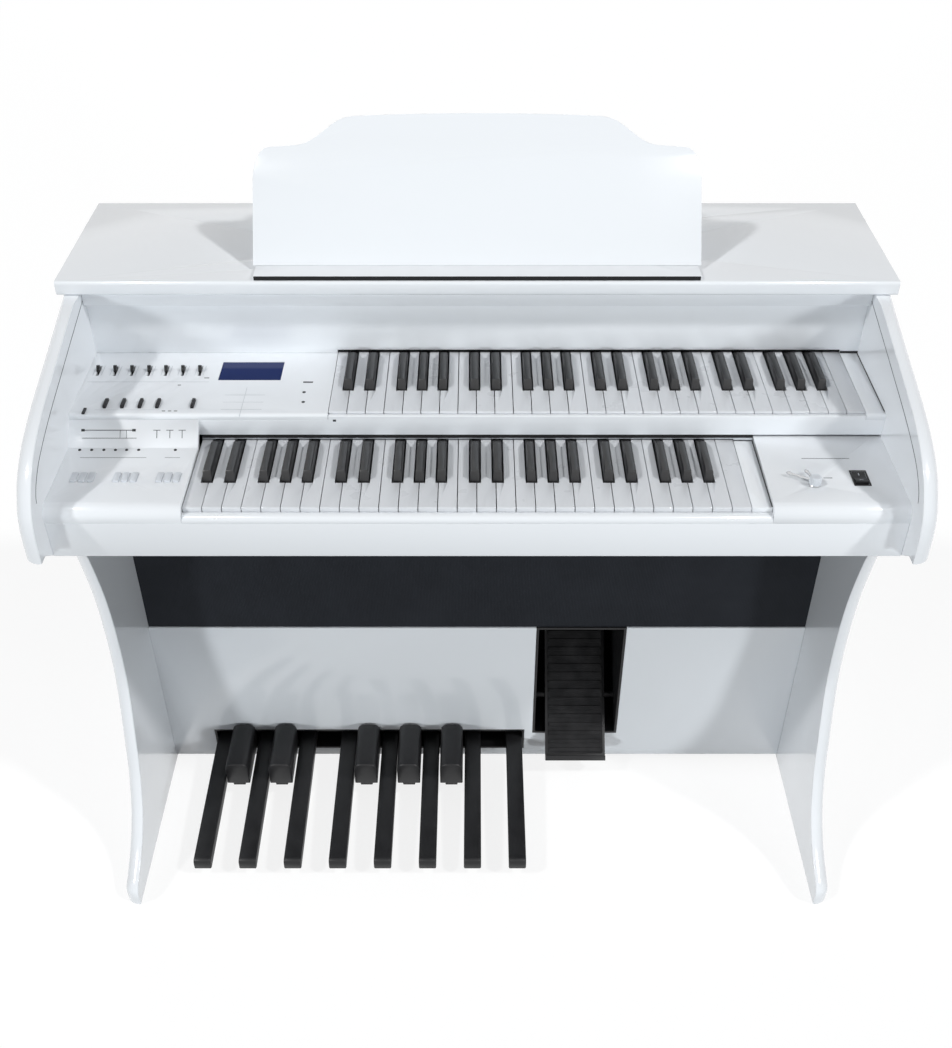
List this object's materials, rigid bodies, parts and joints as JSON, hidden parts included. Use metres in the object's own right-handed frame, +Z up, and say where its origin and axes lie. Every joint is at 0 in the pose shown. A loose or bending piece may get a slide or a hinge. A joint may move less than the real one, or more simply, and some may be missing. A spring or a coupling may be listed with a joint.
{
  "type": "electronic organ",
  "caption": "Free-standing two-manual electronic home organ with a short pedalboard, expression pedal and shaped music desk",
  "frame": {"origin": "middle of the footprint on the floor, under the top board", "axes": "+Z up, the player sits on the -Y side, +X to the player's right"},
  "size_m": [1.09, 0.556, 1.0586],
  "materials": {
    "white_lacquer": "white gloss lacquer on board",
    "grey_board": "matt grey-white painted board",
    "natural_keys": "satin-gloss moulded key plastic",
    "sharp_keys": "satin black moulded plastic",
    "black_plastic": "fine-textured black plastic",
    "buttons": "satin pale grey plastic",
    "speaker_cloth": "black acoustic cloth stretched over a baffle",
    "display": "dark blue display window",
    "zinc_steel": "zinc-plated sheet",
    "chrome": "polished chrome",
    "circuit_board": "green circuit board"
  },
  "bodies": {
    "case": {"left_side_panel": "white_lacquer", "right_side_panel": "white_lacquer", "top_board": "white_lacquer", "top_rail": "white_lacquer", "fallboard": "white_lacquer", "upper_deck": "white_lacquer", "upper_front_rail": "white_lacquer", "upper_end_block": "white_lacquer", "lower_left_deck": "white_lacquer", "lower_right_deck": "white_lacquer", "lower_end_block": "white_lacquer", "lower_key_slip": "white_lacquer", "front_apron": "white_lacquer", "keybed_board": "white_lacquer", "upper_key_chassis": "zinc_steel", "lower_key_chassis": "zinc_steel", "speaker_panel": "speaker_cloth", "kick_panel": "white_lacquer", "expression_housing": "black_plastic", "pedal_chassis": "black_plastic", "bottom_board": "grey_board", "back_panel": "grey_board", "display": "display", "left_speaker": "black_plastic", "right_speaker": "black_plastic", "main_board": "circuit_board", "power_supply": "zinc_steel"},
    "lower_white_comb_a": {"lower_white_comb_a": "natural_keys"},
    "lower_white_comb_b": {"lower_white_comb_b": "natural_keys"},
    "lower_black_comb": {"lower_black_comb": "sharp_keys"},
    "upper_white_comb_a": {"upper_white_comb_a": "natural_keys"},
    "upper_white_comb_b": {"upper_white_comb_b": "natural_keys"},
    "upper_black_comb": {"upper_black_comb": "sharp_keys"},
    "pedal_01": {"pedal_01": "black_plastic"},
    "pedal_02": {"pedal_02": "black_plastic"},
    "pedal_03": {"pedal_03": "black_plastic"},
    "pedal_04": {"pedal_04": "black_plastic"},
    "pedal_05": {"pedal_05": "black_plastic"},
    "pedal_06": {"pedal_06": "black_plastic"},
    "pedal_07": {"pedal_07": "black_plastic"},
    "pedal_08": {"pedal_08": "black_plastic"},
    "pedal_09": {"pedal_09": "black_plastic"},
    "pedal_10": {"pedal_10": "black_plastic"},
    "pedal_11": {"pedal_11": "black_plastic"},
    "pedal_12": {"pedal_12": "black_plastic"},
    "pedal_13": {"pedal_13": "black_plastic"},
    "expression_pedal": {"expression_pedal": "black_plastic"},
    "power_rocker": {"power_rocker": "black_plastic"},
    "volume_knob": {"volume_knob": "chrome"},
    "music_stand": {"music_desk": "white_lacquer", "music_ledge": "white_lacquer"},
    "slider_1": {"slider_1": "black_plastic"},
    "slider_2": {"slider_2": "black_plastic"},
    "slider_3": {"slider_3": "black_plastic"},
    "slider_4": {"slider_4": "black_plastic"},
    "slider_5": {"slider_5": "black_plastic"},
    "slider_6": {"slider_6": "black_plastic"},
    "slider_7": {"slider_7": "black_plastic"},
    "tab_strip": {"tab_strip": "black_plastic"},
    "button_mat": {"button_mat": "buttons"}
  },
  "joints": [
    {"name": "lower_white_comb_a_press", "type": "hinge", "parent": "case", "child": "lower_white_comb_a", "pos_m": [0, -0.0285, 0.717], "axis": [1, 0, 0], "range_deg": [0, 2.7], "stiffness_Nm_per_rad": 15, "springref_deg": -8.59},
    {"name": "lower_white_comb_b_press", "type": "hinge", "parent": "case", "child": "lower_white_comb_b", "pos_m": [0, -0.0145, 0.717], "axis": [1, 0, 0], "range_deg": [0, 2.5], "stiffness_Nm_per_rad": 15, "springref_deg": -8.59},
    {"name": "lower_black_comb_press", "type": "hinge", "parent": "case", "child": "lower_black_comb", "pos_m": [0, -0.0005, 0.717], "axis": [1, 0, 0], "range_deg": [0, 2.6], "stiffness_Nm_per_rad": 15, "springref_deg": -8.59},
    {"name": "upper_white_comb_a_press", "type": "hinge", "parent": "case", "child": "upper_white_comb_a", "pos_m": [0, 0.1185, 0.757], "axis": [1, 0, 0], "range_deg": [0, 2.7], "stiffness_Nm_per_rad": 15, "springref_deg": -8.59},
    {"name": "upper_white_comb_b_press", "type": "hinge", "parent": "case", "child": "upper_white_comb_b", "pos_m": [0, 0.1325, 0.757], "axis": [1, 0, 0], "range_deg": [0, 2.5], "stiffness_Nm_per_rad": 15, "springref_deg": -8.59},
    {"name": "upper_black_comb_press", "type": "hinge", "parent": "case", "child": "upper_black_comb", "pos_m": [0, 0.1465, 0.757], "axis": [1, 0, 0], "range_deg": [0, 2.6], "stiffness_Nm_per_rad": 15, "springref_deg": -8.59},
    {"name": "pedal_01_press", "type": "hinge", "parent": "case", "child": "pedal_01", "pos_m": [-0.427, 0.19, 0.035], "axis": [1, 0, 0], "range_deg": [0, 1.9], "stiffness_Nm_per_rad": 20, "springref_deg": -5.73},
    {"name": "pedal_02_press", "type": "hinge", "parent": "case", "child": "pedal_02", "pos_m": [-0.392, 0.19, 0.035], "axis": [1, 0, 0], "range_deg": [0, 1.9], "stiffness_Nm_per_rad": 20, "springref_deg": -5.73},
    {"name": "pedal_03_press", "type": "hinge", "parent": "case", "child": "pedal_03", "pos_m": [-0.357, 0.19, 0.035], "axis": [1, 0, 0], "range_deg": [0, 1.9], "stiffness_Nm_per_rad": 20, "springref_deg": -5.73},
    {"name": "pedal_04_press", "type": "hinge", "parent": "case", "child": "pedal_04", "pos_m": [-0.322, 0.19, 0.035], "axis": [1, 0, 0], "range_deg": [0, 1.9], "stiffness_Nm_per_rad": 20, "springref_deg": -5.73},
    {"name": "pedal_05_press", "type": "hinge", "parent": "case", "child": "pedal_05", "pos_m": [-0.287, 0.19, 0.035], "axis": [1, 0, 0], "range_deg": [0, 1.9], "stiffness_Nm_per_rad": 20, "springref_deg": -5.73},
    {"name": "pedal_06_press", "type": "hinge", "parent": "case", "child": "pedal_06", "pos_m": [-0.217, 0.19, 0.035], "axis": [1, 0, 0], "range_deg": [0, 1.9], "stiffness_Nm_per_rad": 20, "springref_deg": -5.73},
    {"name": "pedal_07_press", "type": "hinge", "parent": "case", "child": "pedal_07", "pos_m": [-0.182, 0.19, 0.035], "axis": [1, 0, 0], "range_deg": [0, 1.9], "stiffness_Nm_per_rad": 20, "springref_deg": -5.73},
    {"name": "pedal_08_press", "type": "hinge", "parent": "case", "child": "pedal_08", "pos_m": [-0.147, 0.19, 0.035], "axis": [1, 0, 0], "range_deg": [0, 1.9], "stiffness_Nm_per_rad": 20, "springref_deg": -5.73},
    {"name": "pedal_09_press", "type": "hinge", "parent": "case", "child": "pedal_09", "pos_m": [-0.112, 0.19, 0.035], "axis": [1, 0, 0], "range_deg": [0, 1.9], "stiffness_Nm_per_rad": 20, "springref_deg": -5.73},
    {"name": "pedal_10_press", "type": "hinge", "parent": "case", "child": "pedal_10", "pos_m": [-0.077, 0.19, 0.035], "axis": [1, 0, 0], "range_deg": [0, 1.9], "stiffness_Nm_per_rad": 20, "springref_deg": -5.73},
    {"name": "pedal_11_press", "type": "hinge", "parent": "case", "child": "pedal_11", "pos_m": [-0.042, 0.19, 0.035], "axis": [1, 0, 0], "range_deg": [0, 1.9], "stiffness_Nm_per_rad": 20, "springref_deg": -5.73},
    {"name": "pedal_12_press", "type": "hinge", "parent": "case", "child": "pedal_12", "pos_m": [-0.007, 0.19, 0.035], "axis": [1, 0, 0], "range_deg": [0, 1.9], "stiffness_Nm_per_rad": 20, "springref_deg": -5.73},
    {"name": "pedal_13_press", "type": "hinge", "parent": "case", "child": "pedal_13", "pos_m": [0.063, 0.19, 0.035], "axis": [1, 0, 0], "range_deg": [0, 1.9], "stiffness_Nm_per_rad": 20, "springref_deg": -5.73},
    {"name": "expression_tilt", "type": "hinge", "parent": "case", "child": "expression_pedal", "pos_m": [0.165, 0.06, 0.105], "axis": [-1, 0, 0], "range_deg": [0, 25]},
    {"name": "power_rocker_tip", "type": "hinge", "parent": "case", "child": "power_rocker", "pos_m": [0.4685, -0.18725, 0.74], "axis": [1, 0, 0], "range_deg": [0, 16]},
    {"name": "volume_turn", "type": "hinge", "parent": "case", "child": "volume_knob", "pos_m": [0.41, -0.2, 0.7433], "axis": [0, 0, 1], "range_deg": [-150, 150]},
    {"name": "music_stand_lift", "type": "slide", "parent": "case", "child": "music_stand", "axis": [0, 0, 1], "range_m": [0, 0.03]},
    {"name": "slider_1_slide", "type": "slide", "parent": "case", "child": "slider_1", "axis": [0, 1, 0], "range_m": [-0.009, 0.009]},
    {"name": "slider_2_slide", "type": "slide", "parent": "case", "child": "slider_2", "axis": [0, 1, 0], "range_m": [-0.009, 0.009]},
    {"name": "slider_3_slide", "type": "slide", "parent": "case", "child": "slider_3", "axis": [0, 1, 0], "range_m": [-0.009, 0.009]},
    {"name": "slider_4_slide", "type": "slide", "parent": "case", "child": "slider_4", "axis": [0, 1, 0], "range_m": [-0.009, 0.009]},
    {"name": "slider_5_slide", "type": "slide", "parent": "case", "child": "slider_5", "axis": [0, 1, 0], "range_m": [-0.009, 0.009]},
    {"name": "slider_6_slide", "type": "slide", "parent": "case", "child": "slider_6", "axis": [0, 1, 0], "range_m": [-0.009, 0.009]},
    {"name": "slider_7_slide", "type": "slide", "parent": "case", "child": "slider_7", "axis": [0, 1, 0], "range_m": [-0.009, 0.009]},
    {"name": "tab_strip_press", "type": "slide", "parent": "case", "child": "tab_strip", "axis": [0, 0, -1], "range_m": [0, 0.0025], "stiffness_N_per_m": 200, "springref_m": -0.003},
    {"name": "button_mat_press", "type": "slide", "parent": "case", "child": "button_mat", "axis": [0, 0, -1], "range_m": [0, 0.0015], "stiffness_N_per_m": 300, "springref_m": -0.003}
  ]
}
